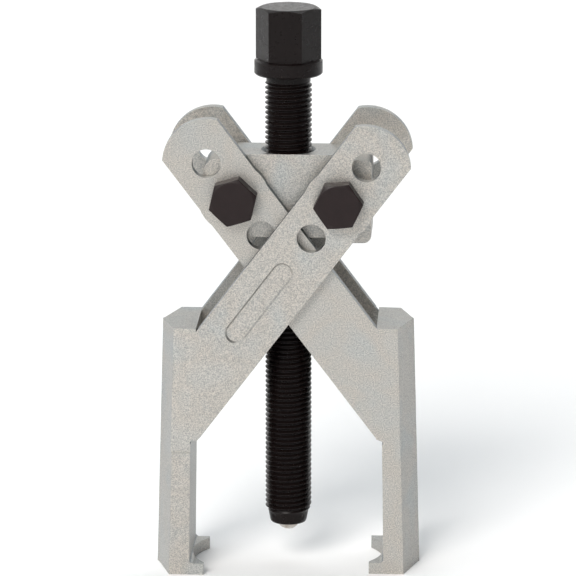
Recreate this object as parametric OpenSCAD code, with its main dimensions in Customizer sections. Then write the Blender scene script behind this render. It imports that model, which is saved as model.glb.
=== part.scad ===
// Two-arm gear puller: two hooked arms cross on a steel crosshead, and a
// forcing screw through the middle pushes on the shaft while the hooks pull.
// Millimetres. +Z runs up the screw, +X to the right arm's hook, -Y to the front.
// The origin is on the screw's axis, level with the undersides of the hooks.

/* [Crosshead] */
// Width of the crosshead across its ears
head_w = 50; // [48:0.5:54]
// Thickness of the crosshead, front to back
head_t = 16.8; // [16.4:0.1:18]
// Height of the underside above the hooks
head_z = 103.2; // [98:0.5:106]
// Height of the middle of the crosshead
head_h = 25.1; // [24:0.5:28]
// How far the ears sit below the middle, top and bottom
ear_drop = 1.5; // [0.5:0.1:2.5]
// Width of the raised middle of the crosshead
mid_w = 31; // [28:0.5:34]
// Diameter of the round boss that carries the outer cheek
boss_d = 15; // [13:0.5:16]

/* [Pivots] */
// Distance of each pivot bolt from the screw's axis
pivot_x = 15.6; // [15:0.1:16.5]
// Height of the pivot bolts above the hooks
pivot_z = 115.3; // [113:0.5:117]
// Diameter of the pivot holes and of the spare holes
hole_d = 8.6; // [8.4:0.1:9]
// Diameter of the bolt's plain shank
shank_d = 8.45; // [8.25:0.05:8.5]
// Width across the flats of the bolt heads
bolt_af = 12.8; // [12.6:0.1:13]
// Height of the bolt heads
bolt_head_h = 5.3; // [5:0.1:5.6]
// Length of the bolts under the head
bolt_len = 34.5; // [34:0.1:35.5]
// Height of the nuts
nut_h = 6.5; // [6:0.1:6.8]

/* [Arms] */
// Angle between an arm's upper bar and the vertical
bar_tilt = 37; // [36:0.5:38]
// Width of the upper bar
bar_w = 20.4; // [19:0.2:21]
// Thickness of one cheek of the fork
cheek_t = 3.35; // [3:0.05:3.5]
// Running gap between neighbouring cheeks and faces
gap = 0.15; // [0.1:0.05:0.2]
// Distance between neighbouring holes along the bar
hole_pitch = 13.45; // [13:0.05:14]
// How far the rounded tip reaches past the top hole
tip_reach = 12.75; // [12:0.25:14]
// Radius of the rounded tip
tip_r = 13.5; // [12:0.25:15]
// How much higher the inner cheek's outline sits than the outer one's, halved
cheek_lift = 0.5; // [0:0.1:0.8]

/* [Legs and hooks] */
// Height of the leg's flat top above the hooks
leg_h = 76.4; // [74:0.2:78]
// Outward lean of the leg
leg_lean = 1.7; // [1:0.1:2]
// Distance of the leg's inner face from the screw's axis, at the bottom
leg_in_x = 29.3; // [28.5:0.05:30]
// Distance of the outer ridge from the screw's axis, at the bottom
ridge_x = 39.9; // [38.5:0.1:41]
// How far the ridge stands out beyond the leg's front and back corners
ridge_h = 4.55; // [3.5:0.05:5]
// Distance of the hook's tip from the screw's axis
hook_x = 24.85; // [24:0.05:26]
// Thickness of the hook
hook_t = 3.5; // [3:0.1:4.5]
// Radius of the hook's hollow edge, seen from above
hook_r = 20; // [18:0.5:24]
// Depth of the slanted recess on the leg where the outer cheek ends
recess = 0.7; // [0.5:0.1:0.9]

/* [Forcing screw] */
// Outer diameter of the screw's thread
screw_d = 13.9; // [13.7:0.05:13.9]
// Thread pitch
pitch = 1.5; // [1.25:0.25:2]
// Width across the flats of the screw's head
hex_af = 16.9; // [16.5:0.1:17]
// Height of the top of the head above the hooks
hex_top = 171.1; // [168:0.1:174]
// Diameter of the collar under the head
collar_d = 20.3; // [19.5:0.1:21]
// Height of the collar's underside above the hooks
collar_z = 151; // [149:0.5:153]
// Height of the collar
collar_h = 4.6; // [4:0.1:5]
// Height of the screw's flat end above the hooks
screw_z = 12.9; // [11:0.1:15]
// Diameter of the thrust ball
ball_d = 7.2; // [6.5:0.1:7.6]

/* [Hidden] */
$fn = 64;
eps = 0.01;
big = 60;

// Planes across the stack, from the crosshead's face outwards
inner_y0 = head_t / 2 + gap;
inner_y1 = inner_y0 + cheek_t;
outer_y0 = inner_y1 + gap;
outer_y1 = outer_y0 + cheek_t;
seat_gap = 0.1;
leg_mid_y = (inner_y1 - outer_y1) / 2;
leg_half_d = (inner_y1 + outer_y1) / 2;

// The crosshead's outline
head_top = head_z + head_h;
ear_top = head_top - ear_drop;
ear_z = head_z - ear_drop;
ear_slope = 2;
corner_r = 2.4;
ear_eye_r = 9.9;
shoulder_r_left = 4.5;
shoulder_r_right = 1.5;
screw_bore_d = 14;
mouth_d = 16.4;
mouth_h = 1.2;

// Colours
zinc = [0.76, 0.75, 0.72];
black = [0.13, 0.12, 0.12];
steel = [0.72, 0.68, 0.63];

// Rounds the corner at the point p of an outline, q pointing out of the corner
module corner_cut(p, r, q)
{
    difference()
    {
        translate([p[0] - (q[0] > 0 ? r : 1), p[1] - (q[1] > 0 ? r : 1)])
            square(r + 1);
        translate([p[0] - q[0] * r, p[1] - q[1] * r])
            circle(r = r);
    }
}

// Extrudes an outline drawn in X and Z from y0 to y1
module slab(y0, y1)
{
    translate([0, y1, 0])
        rotate([90, 0, 0])
            linear_extrude(y1 - y0)
                children();
}

// A bore or rod along Y at the point p of the XZ plane
module rod_y(p, d, y0, y1)
{
    translate([p[0], y1, p[1]])
        rotate([90, 0, 0])
            cylinder(d = d, h = y1 - y0);
}

// ---------------------------------------------------------------- crosshead

// The middle stands ear_drop above the ears and hangs that much above their undersides
module head_outline()
{
    ear_x = head_w / 2;
    difference()
    {
        union()
        {
            translate([-ear_x, ear_z])
                square([head_w, ear_top - ear_z]);
            polygon([[-mid_w / 2, head_top], [mid_w / 2, head_top],
                     [mid_w / 2 + ear_slope, ear_top - eps], [-mid_w / 2 - ear_slope, ear_top - eps]]);
        }
        polygon([[-mid_w / 2, head_z], [mid_w / 2, head_z],
                 [mid_w / 2 + ear_slope, ear_z], [mid_w / 2 + ear_slope, ear_z - 1],
                 [-mid_w / 2 - ear_slope, ear_z - 1], [-mid_w / 2 - ear_slope, ear_z]]);
        // the left ear is round below, about its own pivot, and the right one is square
        difference()
        {
            translate([-ear_x - 1, ear_z - 2])
                square([ear_x + 1 - mid_w / 2, pivot_z - ear_z + 2]);
            translate([-pivot_x, pivot_z])
                circle(r = ear_eye_r);
        }
        corner_cut([ear_x, ear_z], corner_r, [1, -1]);
        corner_cut([-ear_x, ear_top], shoulder_r_left, [-1, 1]);
        corner_cut([ear_x, ear_top], shoulder_r_right, [1, 1]);
    }
}

module crosshead()
{
    color(zinc)
        difference()
        {
            union()
            {
                slab(-head_t / 2, head_t / 2)
                    head_outline();
                rod_y([pivot_x, pivot_z], boss_d, -inner_y1, 0);
                rod_y([-pivot_x, pivot_z], boss_d, 0, inner_y1);
            }
            // threaded bore for the screw, with a bevelled mouth at each end
            translate([0, 0, head_z - 1])
                cylinder(d = screw_bore_d, h = head_h + 2);
            translate([0, 0, head_top - mouth_h])
                cylinder(d1 = screw_bore_d, d2 = mouth_d, h = mouth_h + eps);
            translate([0, 0, head_z - eps])
                cylinder(d1 = mouth_d, d2 = screw_bore_d, h = mouth_h + eps);
            for (x = [-pivot_x, pivot_x])
                rod_y([x, pivot_z], hole_d, -big, big);
        }
}

// --------------------------------------------------------------------- arms
// One arm is drawn with its hook on the left, its pivot on the right bolt and
// its outer cheek at the front. The other is the same arm turned half a turn.

// A point s up the bar from the pivot, on its middle line
function on_bar(s) = [pivot_x, pivot_z] + s * [sin(bar_tilt), cos(bar_tilt)];

tip_s = hole_pitch + tip_reach - tip_r;
bar_down = 100;
swell = 0.4;
lip_z = 42.3;
slot_end_x = 26.8;
leg_mid_x = 28.65;
leg_mid_z = 40.3;
throat_x = 28.3;
throat_z = 41.7;

// The upper bar with its rounded tip
module bar_outline()
{
    intersection()
    {
        translate([-bar_w / 2, -bar_down])
            square([bar_w, bar_down + hole_pitch + tip_reach + 1]);
        union()
        {
            translate([-bar_w / 2 - 2, -bar_down])
                square([bar_w + 4, bar_down + tip_s]);
            translate([0, tip_s])
                circle(r = tip_r, $fn = 128);
        }
    }
}

// Outline of a cheek: the bar, a little wider round its pivot and cut off inside the leg
module cheek_outline()
{
    intersection()
    {
        translate([pivot_x, pivot_z])
            rotate(-bar_tilt)
            {
                bar_outline();
                circle(r = bar_w / 2 + swell, $fn = 128);
            }
        translate([-leg_in_x - 0.5, lip_z])
            square([2 * big, 2 * big]);
    }
}

// The leg in plan, from inside it out to a blunt ridge at the origin
module leg_plan()
{
    blunt = 0.6;
    inside = 20;
    polygon([[inside, leg_half_d], [ridge_h, leg_half_d],
             [blunt, 2 * blunt], [0, 0], [blunt, -2 * blunt],
             [ridge_h, -leg_half_d], [inside, -leg_half_d]]);
}

// The leg seen from the front: the fork's slot ends in it, above a small throat
module leg_profile()
{
    polygon([[-leg_in_x, 0], [-big, 0], [-big, leg_h], [-slot_end_x, leg_h],
             [-slot_end_x, lip_z], [-throat_x, throat_z], [-leg_mid_x, leg_mid_z]]);
}

module leg()
{
    intersection()
    {
        translate([-ridge_x, leg_mid_y, 0])
            rotate([0, leg_lean, 0])
                translate([0, 0, -big / 4])
                    linear_extrude(leg_h + big)
                        leg_plan();
        slab(leg_mid_y - leg_half_d, leg_mid_y + leg_half_d)
            leg_profile();
    }
}

// The hook: a flat toe with a hollow edge, blended into the leg by a fillet
toe_fillet = 1.3;

module hook()
{
    difference()
    {
        union()
        {
            translate([-leg_in_x - 1, leg_mid_y - leg_half_d, 0])
                cube([leg_in_x + 1 - hook_x, 2 * leg_half_d, hook_t]);
            slab(leg_mid_y - leg_half_d, leg_mid_y + leg_half_d)
                difference()
                {
                    translate([-leg_in_x - 1, hook_t - 1])
                        square([toe_fillet + 1, toe_fillet + 1]);
                    translate([-leg_in_x + toe_fillet, hook_t + toe_fillet])
                        circle(r = toe_fillet);
                }
        }
        translate([-leg_in_x + 0.3 + hook_r, leg_mid_y, -1])
            cylinder(r = hook_r, h = hook_t + toe_fillet + 2, $fn = 128);
    }
}

// The flat on the leg beside the outer cheek, slanted so that it is deeper outwards
module leg_recess()
{
    from_z = 38;
    from_x = 25.9;
    run = 20;
    slant = 0.075;
    translate([-from_x, -outer_y1, from_z])
        linear_extrude(leg_h)
            polygon([[0, recess], [-run, recess + run * slant], [-run, -1], [0, -1]]);
}

// A blank sunk panel with round ends, on the outer cheek
module panel()
{
    len = 29.4;
    width = 6.4;
    below_pivot = 38.7;
    off_middle = 0.4;
    deep = 0.4;
    slab(-outer_y1 - 1, -outer_y1 + deep)
        translate([pivot_x, pivot_z])
            rotate(-bar_tilt)
                translate([-off_middle, -below_pivot])
                {
                    square([width, len - width], center = true);
                    for (end = [-0.5, 0.5])
                        translate([0, end * (len - width)])
                            circle(d = width);
                }
}

module arm()
{
    throat_groove_d = 1.1;
    difference()
    {
        union()
        {
            translate([0, 0, -cheek_lift])
                slab(-outer_y1, -outer_y0)
                    cheek_outline();
            translate([0, 0, cheek_lift])
                slab(inner_y0, inner_y1)
                    cheek_outline();
            leg();
            hook();
        }
        for (i = [-1 : 1])
            rod_y(on_bar(i * hole_pitch), hole_d, -big, big);
        rod_y([-throat_x - 0.1, throat_z - 0.65], throat_groove_d, -big, big);
        leg_recess();
        panel();
    }
}

module arm_left()
{
    color(zinc)
        arm();
}

module arm_right()
{
    color(zinc)
        rotate([0, 0, 180])
            arm();
}

// --------------------------------------------------------- bolts and nuts

// A hexagon with its bevelled top at z = h. Its corners point at corner + 60 k
module hex_head(af, h, corner, bevel)
{
    r = af / sqrt(3);
    intersection()
    {
        rotate([0, 0, corner])
            cylinder(r = r, h = h, $fn = 6);
        rotate_extrude()
            polygon([[0, 0], [r + 1, 0], [r + 1, h - bevel - tan(30)],
                     [af / 2 * 0.96, h], [0, h]]);
    }
}

thread_d = 7.9;
thread_bevel = 0.8;
head_bevel = 0.4;

// A bolt along Y, its head's underside at y = under
module bolt(x, under, corner, shank_len)
{
    translate([x, under, pivot_z])
        rotate([90, 0, 0])
        {
            hex_head(bolt_af, bolt_head_h, corner, head_bevel);
            mirror([0, 0, 1])
            {
                cylinder(d = shank_d, h = shank_len);
                cylinder(d = thread_d, h = bolt_len - thread_bevel);
                translate([0, 0, bolt_len - thread_bevel])
                    cylinder(d1 = thread_d, d2 = thread_d - 2 * thread_bevel, h = thread_bevel);
            }
        }
}

// Each bolt's head and nut bear on its own arm's two cheeks
head_left_y = -inner_y1 - seat_gap;
head_right_y = -outer_y1 - seat_gap;
nut_left_y = outer_y1 + seat_gap;
nut_right_y = inner_y1 + seat_gap;

module pivot_bolt_left()
{
    color(black)
        bolt(-pivot_x, head_left_y, 16.8, outer_y1 - head_left_y);
}

module pivot_bolt_right()
{
    color(black)
        bolt(pivot_x, head_right_y, 4.6, inner_y1 - head_right_y);
}

module nut(x, y0, corner)
{
    nut_af = 12.9;
    nut_bore = 8;
    translate([x, y0, pivot_z])
        rotate([-90, 0, 0])
            difference()
            {
                intersection()
                {
                    hex_head(nut_af, nut_h, corner, head_bevel);
                    translate([0, 0, nut_h])
                        mirror([0, 0, 1])
                            hex_head(nut_af, nut_h, corner, head_bevel);
                }
                translate([0, 0, -1])
                    cylinder(d = nut_bore, h = nut_h + 2);
            }
}

module pivot_nut_left()
{
    color(black)
        nut(-pivot_x, nut_left_y, 10);
}

module pivot_nut_right()
{
    color(black)
        nut(pivot_x, nut_right_y, 0);
}

// ----------------------------------------------------------- forcing screw

thread_z0 = 17.6;
neck_d = 13.1;
neck_h = 2.2;
thread_deep = 0.87;
turns = floor((collar_z - neck_h - thread_z0) / pitch);
end_d = 11;
end_bevel = 0.5;
ball_z = screw_z + 1;
ball_gap = 0.05;
hex_turn = 3.8;
hex_z = collar_z + collar_h;

// Half the screw's outline below the collar, from the tip upwards: a blunt
// tapered end, then one ridge of the thread for every pitch
function screw_half() = concat(
    [[0, screw_z], [end_d / 2 - end_bevel, screw_z], [end_d / 2, screw_z + end_bevel],
     [neck_d / 2, thread_z0 - 1]],
    [for (i = [0 : turns - 1], step = [0 : 3])
        [screw_d / 2 - (step == 0 || step == 3 ? thread_deep : 0),
         thread_z0 + pitch * (i + [0, 0.44, 0.56, 1][step])]],
    [[neck_d / 2, thread_z0 + turns * pitch + eps], [neck_d / 2, collar_z + eps],
     [0, collar_z + eps]]);

module forcing_screw()
{
    bevel = 0.5;
    color(black)
        difference()
        {
            union()
            {
                rotate_extrude()
                    polygon(screw_half());
                rotate_extrude()
                    polygon([[0, collar_z], [collar_d / 2 - bevel, collar_z],
                             [collar_d / 2, collar_z + bevel], [collar_d / 2, hex_z - bevel],
                             [collar_d / 2 - 1.3, hex_z], [0, hex_z]]);
                // flat of the hexagon turned a little to the left of the front
                translate([0, 0, hex_z - eps])
                    hex_head(hex_af, hex_top - hex_z + eps, -hex_turn, 0.6);
            }
            // seat of the thrust ball
            translate([0, 0, ball_z])
                sphere(d = ball_d + 2 * ball_gap);
        }
}

module thrust_ball()
{
    color(steel)
        translate([0, 0, ball_z])
            sphere(d = ball_d);
}

crosshead();
arm_left();
arm_right();
pivot_bolt_left();
pivot_bolt_right();
pivot_nut_left();
pivot_nut_right();
forcing_screw();
thrust_ball();
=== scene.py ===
from math import cos, pi, radians, sin, sqrt

import bmesh
import bpy
from mathutils import Matrix, Vector


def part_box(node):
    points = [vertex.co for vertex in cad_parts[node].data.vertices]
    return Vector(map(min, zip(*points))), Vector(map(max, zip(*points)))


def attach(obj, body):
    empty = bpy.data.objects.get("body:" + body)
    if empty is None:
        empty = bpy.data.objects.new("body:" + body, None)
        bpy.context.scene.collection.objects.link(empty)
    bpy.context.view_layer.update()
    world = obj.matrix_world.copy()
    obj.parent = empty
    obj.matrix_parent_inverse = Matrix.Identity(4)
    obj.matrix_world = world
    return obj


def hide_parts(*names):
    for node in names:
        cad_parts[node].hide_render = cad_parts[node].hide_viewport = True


# Gear puller: zinc-plated forged arms and crosshead, black bolts, nuts and forcing screw.
# Every length is in metres; MM turns millimetres into metres.

MM = 0.001

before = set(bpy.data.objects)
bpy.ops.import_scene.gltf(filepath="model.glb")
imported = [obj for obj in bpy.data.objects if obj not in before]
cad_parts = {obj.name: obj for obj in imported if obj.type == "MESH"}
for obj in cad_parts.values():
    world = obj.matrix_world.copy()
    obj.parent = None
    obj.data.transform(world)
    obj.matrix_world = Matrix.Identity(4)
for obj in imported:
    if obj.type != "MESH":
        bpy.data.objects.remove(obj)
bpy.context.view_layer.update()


# ---------------------------------------------------------------- small helpers

def link(obj):
    bpy.context.scene.collection.objects.link(obj)
    return obj


def new_object(name, bm):
    mesh = bpy.data.meshes.new(name)
    bm.to_mesh(mesh)
    bm.free()
    return link(bpy.data.objects.new(name, mesh))


def finish_piece(obj, material, body, slot, *nodes):
    """Gives a piece its material and its body, and hides the CAD nodes that it stands for. The slot
    argument is not used.
    """
    obj.data.materials.clear()
    obj.data.materials.append(material)
    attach(obj, body)
    if nodes:
        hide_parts(*nodes)
    return obj


# ---------------------------------------------------------------- materials

class Nodes:
    """A short way to write a node tree."""

    def __init__(self, name):
        self.material = bpy.data.materials.new(name)
        self.material.use_nodes = True
        self.tree = self.material.node_tree
        self.shader = self.tree.nodes["Principled BSDF"]
        self.coords = self.tree.nodes.new("ShaderNodeTexCoord")

    def wire(self, source, target):
        self.tree.links.new(source, target)

    def noise(self, size, detail=3.0, rough=0.5, distortion=0.0):
        """Noise whose blotches are about size across, in metres."""
        node = self.tree.nodes.new("ShaderNodeTexNoise")
        node.inputs["Scale"].default_value = 1 / size
        node.inputs["Detail"].default_value = detail
        node.inputs["Roughness"].default_value = rough
        node.inputs["Distortion"].default_value = distortion
        self.wire(self.coords.outputs["Object"], node.inputs["Vector"])
        return node.outputs["Fac"]

    def ramp(self, source, stops):
        node = self.tree.nodes.new("ShaderNodeValToRGB")
        elements = node.color_ramp.elements
        while len(elements) < len(stops):
            elements.new(0.5)
        for element, (at, colour) in zip(elements, stops):
            element.position = at
            element.color = (*colour, 1)
        self.wire(source, node.inputs["Fac"])
        return node.outputs["Color"]

    def spread(self, source, low, high, at=(0.3, 0.7)):
        """Maps the range at onto low to high. The default suits noise, which keeps near 0.5."""
        node = self.tree.nodes.new("ShaderNodeMapRange")
        node.inputs["From Min"].default_value, node.inputs["From Max"].default_value = at
        node.inputs["To Min"].default_value = low
        node.inputs["To Max"].default_value = high
        self.wire(source, node.inputs["Value"])
        return node.outputs["Result"]

    def mix(self, amount, a, b, mode="MIX"):
        node = self.tree.nodes.new("ShaderNodeMix")
        node.data_type = "RGBA"
        node.blend_type = mode
        for value, name in ((amount, "Factor"), (a, "A"), (b, "B")):
            socket = node.inputs[name]
            if isinstance(value, (int, float)):
                socket.default_value = value
            elif isinstance(value, tuple):
                socket.default_value = (*value, 1)
            else:
                self.wire(value, socket)
        return node.outputs["Result"]

    def add(self, a, b, weight):
        """a plus weight times b."""
        node = self.tree.nodes.new("ShaderNodeMath")
        node.operation = "MULTIPLY_ADD"
        self.wire(b, node.inputs[0])
        node.inputs[1].default_value = weight
        self.wire(a, node.inputs[2])
        return node.outputs["Value"]

    def absolute(self, source):
        node = self.tree.nodes.new("ShaderNodeMath")
        node.operation = "ABSOLUTE"
        self.wire(source, node.inputs[0])
        return node.outputs["Value"]

    def bump(self, height, strength, distance):
        node = self.tree.nodes.new("ShaderNodeBump")
        node.inputs["Strength"].default_value = strength
        node.inputs["Distance"].default_value = distance
        self.wire(height, node.inputs["Height"])
        self.wire(node.outputs["Normal"], self.shader.inputs["Normal"])

    def set(self, **values):
        for name, value in values.items():
            self.shader.inputs[name.replace("_", " ")].default_value = value


def zinc_material():
    """Zinc-plated forging: pale grey, finely granular, with faint yellow and blue passivation.
    The bores, sides and slanted edges are painted darker and cooler than the front and back faces: painted
    shade and painted dark reflection, set by the way each face points."""
    m = Nodes("zinc_plate")
    m.set(Metallic=0.85, Specular_IOR_Level=0.5)
    passivation = m.noise(16 * MM, detail=2.0, distortion=0.5)
    tint = m.ramp(passivation, [(0.32, (0.462, 0.468, 0.456)), (0.50, (0.500, 0.474, 0.438)),
                                (0.68, (0.492, 0.482, 0.458))])
    fine = m.noise(0.34 * MM, detail=1.0)
    coarse = m.noise(0.85 * MM, rough=0.6)
    speckle = m.mix(m.spread(fine, 0, 1, at=(0.32, 0.68)), (0.72, 0.735, 0.75), (1.28, 1.25, 1.22))
    clouds = m.mix(m.spread(coarse, 0, 1), (0.93, 0.935, 0.94), (1.06, 1.055, 1.05))
    face = m.mix(1.0, m.mix(1.0, tint, speckle, "MULTIPLY"), clouds, "MULTIPLY")
    normal = m.tree.nodes.new("ShaderNodeSeparateXYZ")
    m.wire(m.coords.outputs["Normal"], normal.inputs["Vector"])
    # painted shade: faces turned away from the front and back, most of all those slanting up or down, are
    # painted darker and cooler
    facing = m.spread(m.absolute(normal.outputs["Y"]), 0, 1, at=(0.25, 0.9))
    painted_side_shade = m.ramp(m.absolute(normal.outputs["Z"]),
                     [(0.30, (0.76, 0.78, 0.80)), (0.48, (0.38, 0.43, 0.48)),
                      (0.70, (0.38, 0.43, 0.48)), (0.90, (0.68, 0.71, 0.73))])
    edge = m.mix(1.0, face, painted_side_shade, "MULTIPLY")
    m.wire(m.mix(facing, edge, face), m.shader.inputs["Base Color"])
    m.wire(m.spread(coarse, 0.36, 0.50), m.shader.inputs["Roughness"])
    m.bump(m.add(fine, m.noise(2.6 * MM, detail=2.0), 1.4), 0.6, 0.07 * MM)
    return m.material


def black_material(name, colour, gloss, sheen_low, sheen_high, grain_mm, strength):
    """Black oxide on steel: nearly black, with a low oily gloss, a little lighter where worn."""
    m = Nodes(name)
    m.set(Metallic=0.0, Specular_IOR_Level=gloss)
    worn = tuple(c * 1.7 for c in colour)
    m.wire(m.mix(m.noise(3.5 * MM, detail=4.0, rough=0.6), colour, worn), m.shader.inputs["Base Color"])
    m.wire(m.spread(m.noise(1.5 * MM, detail=3.0), sheen_low, sheen_high), m.shader.inputs["Roughness"])
    m.bump(m.noise(grain_mm * MM, detail=2.0), strength, 0.05 * MM)
    return m.material


def ball_material():
    """Bare steel, smeared and a little brown from use."""
    m = Nodes("worn_ball")
    m.set(Metallic=0.9, Specular_IOR_Level=0.5)
    m.wire(m.ramp(m.noise(1.4 * MM, detail=3.0, distortion=0.6),
                  [(0.35, (0.42, 0.36, 0.31)), (0.65, (0.62, 0.59, 0.56))]), m.shader.inputs["Base Color"])
    m.wire(m.spread(m.noise(0.9 * MM), 0.22, 0.45), m.shader.inputs["Roughness"])
    m.bump(m.noise(0.7 * MM, detail=3.0), 0.25, 0.03 * MM)
    return m.material


def plain_material(name, colour, roughness):
    m = Nodes(name)
    m.shader.inputs["Base Color"].default_value = (*colour, 1)
    m.set(Roughness=roughness, Specular_IOR_Level=0.2)
    return m.material


ZINC = zinc_material()
BOLT_BLACK = black_material("black_oxide_bolts", (0.0125, 0.0078, 0.0078), 0.2, 0.34, 0.52, 0.5, 0.35)
SCREW_BLACK = black_material("black_oxide_screw", (0.0046, 0.0028, 0.0026), 0.16, 0.24, 0.38,
                             0.6, 0.25)
BALL = ball_material()


# ------------------------------------------------- pieces made from the CAD shapes

# The blank panel on each arm's outer cheek, where the left arm has it: its middle, its tilt,
# the radius of its round ends, the plane of its floor in Y, half the distance between its ends'
# centres, how wide its sloped wall is, and how much deeper than the CAD's floor it is
PANEL_X, PANEL_Z = -8.010 * MM, 84.634 * MM
PANEL_TILT = radians(37)
PANEL_R = 3.2 * MM
PANEL_FLOOR = -15.0 * MM
PANEL_REACH = 11.5 * MM
PANEL_SLOPE = 0.55 * MM
PANEL_DEEPER = 0.25 * MM


def slope_panel(bm, side):
    """Slopes the wall round the sunk panel by drawing its floor in and deeper. The right arm is
    the left arm turned by half a turn, so its side is -1."""
    tilt_cos, tilt_sin = cos(PANEL_TILT), sin(PANEL_TILT)
    half_width = PANEL_R * 1.02
    half_length = PANEL_REACH + PANEL_R * 1.02
    keep = 1 - PANEL_SLOPE / PANEL_R
    for vert in bm.verts:
        x, y, z = side * vert.co.x - PANEL_X, side * vert.co.y, vert.co.z - PANEL_Z
        across = x * tilt_cos - z * tilt_sin
        along = x * tilt_sin + z * tilt_cos
        on_floor = abs(y - PANEL_FLOOR) <= 0.01 * MM
        if not on_floor or abs(across) > half_width or abs(along) > half_length:
            continue
        middle = max(-PANEL_REACH, min(PANEL_REACH, along))
        across, along = across * keep, middle + (along - middle) * keep
        vert.co.x = side * (PANEL_X + across * tilt_cos + along * tilt_sin)
        vert.co.z = PANEL_Z - across * tilt_sin + along * tilt_cos
        vert.co.y = side * (PANEL_FLOOR + PANEL_DEEPER)


# Points closer than MERGE become one, and faces that turn by less than FLAT_WITHIN become one
MERGE = 0.002 * MM
FLAT_WITHIN = radians(0.4)


def softened(node, name, width, segments=3, angle=25, keep_above=None, panel=0):
    """A copy of a CAD node's shape with its edges broken by a small round, as on the real forging."""
    bm = bmesh.new()
    bm.from_mesh(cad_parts[node].data)
    bmesh.ops.remove_doubles(bm, verts=bm.verts, dist=MERGE)
    if keep_above is not None:
        cut = bmesh.ops.bisect_plane(bm, geom=bm.verts[:] + bm.edges[:] + bm.faces[:],
                                     plane_co=(0, 0, keep_above), plane_no=(0, 0, 1), clear_inner=True)
        rim = [g for g in cut["geom_cut"] if isinstance(g, bmesh.types.BMEdge)]
        bmesh.ops.holes_fill(bm, edges=rim, sides=0)
    bmesh.ops.dissolve_limit(bm, angle_limit=FLAT_WITHIN, verts=bm.verts, edges=bm.edges)
    if panel:
        slope_panel(bm, panel)
    for face in bm.faces:
        face.smooth = True
    obj = new_object(name, bm)
    bevel = obj.modifiers.new("edges", "BEVEL")
    bevel.width = width
    bevel.segments = segments
    bevel.limit_method = "ANGLE"
    bevel.angle_limit = radians(angle)
    bevel.use_clamp_overlap = True
    shading = obj.modifiers.new("flat_faces", "WEIGHTED_NORMAL")
    shading.mode = "FACE_AREA"
    shading.weight = 100
    return obj


# How wide each kind of piece's broken edges are
ZINC_EDGE = 0.2 * MM
BOLT_EDGE = 0.15 * MM
HEAD_EDGE = 0.3 * MM

for node, side in (("arm_left", 1), ("arm_right", -1)):
    finish_piece(softened(node, node + "_forging", ZINC_EDGE, panel=side), ZINC, node, "zinc", node)
finish_piece(softened("crosshead", "crosshead_block", ZINC_EDGE), ZINC, "crosshead", "zinc", "crosshead")
for side in ("left", "right"):
    for kind in ("bolt", "nut"):
        node = f"pivot_{kind}_{side}"
        piece = softened(node, f"{node}_black", BOLT_EDGE, segments=2, angle=18)
        finish_piece(piece, BOLT_BLACK, "crosshead", "black_oxide", node)


# ----------------------------------------------------------------- forcing screw

PITCH = 1.5 * MM
CREST_R = 6.95 * MM
ROOT_R = 6.08 * MM
NECK_R = 6.55 * MM
THREAD_LOW = 16.4 * MM
THREAD_HIGH = 148.8 * MM
END_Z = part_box("forcing_screw")[0].z
# How fast the thread's radius may grow away from its lower and its upper end
LOW_TAPER, HIGH_TAPER = 0.62, 0.8
# How far along a pitch each point of the thread's profile lies, and whether it is on the crest
PROFILE = ((0.0, 0.0), (0.08, 0.0), (0.42, 1.0), (0.58, 1.0), (0.92, 0.0))
COLUMNS = 56
SEAM = 0.001 * MM


def envelope(z):
    """The largest radius the thread may have at height z: both ends are tapered."""
    low = ROOT_R + (z - THREAD_LOW) * LOW_TAPER
    high = NECK_R + (THREAD_HIGH - z) * HIGH_TAPER
    return min(CREST_R, low, high)


def helical_thread(bm):
    """A right-hand thread as one strip that climbs a pitch in each turn."""
    rows = len(PROFILE)
    turns = int((THREAD_HIGH - THREAD_LOW) / PITCH) + 2
    grid = {}
    for row in range(-rows, turns * rows):
        share, crest = PROFILE[row % rows]
        for column in range(COLUMNS):
            z = THREAD_LOW + PITCH * (row // rows + share + column / COLUMNS)
            angle = 2 * pi * column / COLUMNS
            radius = min(ROOT_R + (CREST_R - ROOT_R) * crest, envelope(z))
            if z <= THREAD_LOW:
                z, radius = THREAD_LOW, ROOT_R
            if z >= THREAD_HIGH:
                z, radius = THREAD_HIGH, NECK_R
            grid[row, column] = bm.verts.new((radius * cos(angle), radius * sin(angle), z))
    for row, column in list(grid):
        corner = [(row, column), (row, column + 1), (row + 1, column + 1), (row + 1, column)]
        corner = [(r + rows, 0) if c == COLUMNS else (r, c) for r, c in corner]
        if all(c in grid for c in corner):
            bm.faces.new([grid[c] for c in corner])
    bmesh.ops.remove_doubles(bm, verts=bm.verts, dist=SEAM)


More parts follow.
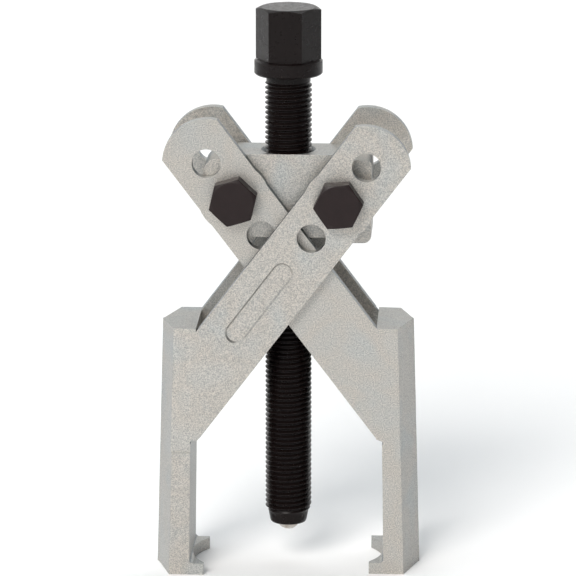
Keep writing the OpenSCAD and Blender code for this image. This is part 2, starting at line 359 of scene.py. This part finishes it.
def forcing_screw():
    bm = bmesh.new()
    helical_thread(bm)
    # everything under and over the thread's two end planes is spun from an outline
    ball_low, ball_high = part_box("thrust_ball")
    ball_z = (ball_low.z + ball_high.z) / 2
    socket_r = (ball_high.z - ball_low.z) / 2 + 0.05 * MM
    lip_r = sqrt(socket_r ** 2 - (ball_z - END_Z) ** 2)
    outline = [(ROOT_R, THREAD_LOW), (5.86 * MM, 15.2 * MM), (5.62 * MM, 13.9 * MM),
               (5.50 * MM, 13.40 * MM), (5.36 * MM, 13.08 * MM), (5.05 * MM, END_Z + 0.02 * MM),
               (4.90 * MM, END_Z), (lip_r + 0.1 * MM, END_Z), (lip_r, END_Z + 0.08 * MM)]
    for step in range(1, 8):
        angle = radians(-16 + 100 * step / 8)
        outline.append((socket_r * cos(angle), ball_z + socket_r * sin(angle)))
    outline.append((0, ball_z + socket_r))
    rings(bm, outline)
    rings(bm, [(NECK_R, THREAD_HIGH), (0, THREAD_HIGH)])
    bmesh.ops.remove_doubles(bm, verts=bm.verts, dist=SEAM)
    bmesh.ops.recalc_face_normals(bm, faces=bm.faces)
    for face in bm.faces:
        face.smooth = True
    for edge in bm.edges:
        if len(edge.link_faces) == 2 and edge.calc_face_angle() > radians(32):
            edge.smooth = False
    screw = new_object("forcing_screw_thread", bm)
    finish_piece(screw, SCREW_BLACK, "forcing_screw", "black_screw")
    head = softened("forcing_screw", "forcing_screw_head", HEAD_EDGE, angle=18,
                    keep_above=THREAD_HIGH - 0.01 * MM)
    finish_piece(head, SCREW_BLACK, "forcing_screw", "black_screw", "forcing_screw")


def rings(bm, outline):
    """Spins an outline of (radius, height) points about Z in the thread's own columns."""
    above = None
    for radius, z in outline:
        ring = []
        for column in range(COLUMNS if radius else 1):
            angle = 2 * pi * column / COLUMNS
            ring.append(bm.verts.new((radius * cos(angle), radius * sin(angle), z)))
        if above and len(ring) > 1:
            for i in range(COLUMNS):
                k = (i + 1) % COLUMNS
                bm.faces.new((above[i], above[k], ring[k], ring[i]))
        elif above:
            for i in range(COLUMNS):
                bm.faces.new((above[i], above[(i + 1) % COLUMNS], ring[0]))
        above = ring


forcing_screw()


def thrust_ball():
    low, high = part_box("thrust_ball")
    bm = bmesh.new()
    bmesh.ops.create_uvsphere(bm, u_segments=48, v_segments=32, radius=(high.z - low.z) / 2,
                              matrix=Matrix.Translation((low + high) / 2))
    for face in bm.faces:
        face.smooth = True
    finish_piece(new_object("thrust_ball_polished", bm), BALL, "thrust_ball", "ball_steel", "thrust_ball")


thrust_ball()


# --------------------------------------------------------- floor, light, camera

def studio():
    floor_size, backdrop_y, bend = 3.0, 1.4, 0.6
    bm = bmesh.new()
    profile = [(-floor_size, 0)]
    profile += [(backdrop_y + bend * sin(radians(a)), bend * (1 - cos(radians(a))))
                for a in range(0, 91, 6)]
    profile += [(backdrop_y + bend, floor_size)]
    rows = [[bm.verts.new((x, y, z)) for x in (-floor_size, floor_size)] for y, z in profile]
    for a, b in zip(rows, rows[1:]):
        bm.faces.new((a[0], a[1], b[1], b[0]))
    for face in bm.faces:
        face.smooth = True
    floor = new_object("floor", bm)
    floor.data.materials.append(plain_material("pale_floor", (0.92, 0.92, 0.92), 0.9))


def sun(name, azimuth, elevation, strength, spread, colour=(1, 1, 1)):
    """A distant softbox. Azimuth 0 is the front and positive azimuth is to the right, in degrees."""
    data = bpy.data.lights.new(name, "SUN")
    data.energy = strength
    data.angle = radians(spread)
    data.color = colour
    light = link(bpy.data.objects.new(name, data))
    a, e = radians(azimuth), radians(elevation)
    towards = Vector((-sin(a) * cos(e), cos(a) * cos(e), -sin(e)))
    light.rotation_euler = towards.to_track_quat("-Z", "Y").to_euler()


def lights():
    sun("key_front", -20, 36, 2.55, 30, (1.0, 0.965, 0.93))
    sun("top_back", 165, 62, 1.0, 50, (0.93, 0.97, 1.0))
    sun("fill_left", -75, 22, 0.45, 50, (0.96, 0.98, 1.0))
    world = bpy.data.worlds.new("soft_room")
    bpy.context.scene.world = world
    world.use_nodes = True
    sky = world.node_tree.nodes["Background"]
    sky.inputs["Color"].default_value = (0.87, 0.95, 1, 1)
    # the room is bright on the left and dim on the right
    tree = world.node_tree
    place = tree.nodes.new("ShaderNodeTexCoord")
    split = tree.nodes.new("ShaderNodeSeparateXYZ")
    side = tree.nodes.new("ShaderNodeMapRange")
    side.inputs["From Min"].default_value, side.inputs["From Max"].default_value = -0.9, 0.75
    side.inputs["To Min"].default_value, side.inputs["To Max"].default_value = 0.66, 0.08
    tree.links.new(place.outputs["Generated"], split.inputs["Vector"])
    tree.links.new(split.outputs["X"], side.inputs["Value"])
    tree.links.new(side.outputs["Result"], sky.inputs["Strength"])


def camera():
    azimuth, elevation, distance = radians(3.0), radians(14.0), 1150 * MM
    aim = Vector((-0.15 * MM, 0, 85.65 * MM))
    forward = Vector((-sin(azimuth) * cos(elevation), cos(azimuth) * cos(elevation), -sin(elevation)))
    data = bpy.data.cameras.new("camera")
    data.sensor_width = 36
    data.lens = 239.7
    data.clip_start, data.clip_end = 0.05, 20
    cam = link(bpy.data.objects.new("camera", data))
    cam.location = aim - distance * forward
    cam.rotation_euler = forward.to_track_quat("-Z", "Y").to_euler()
    bpy.context.scene.camera = cam


studio()
lights()
camera()
bpy.context.scene.view_settings.view_transform = "Standard"
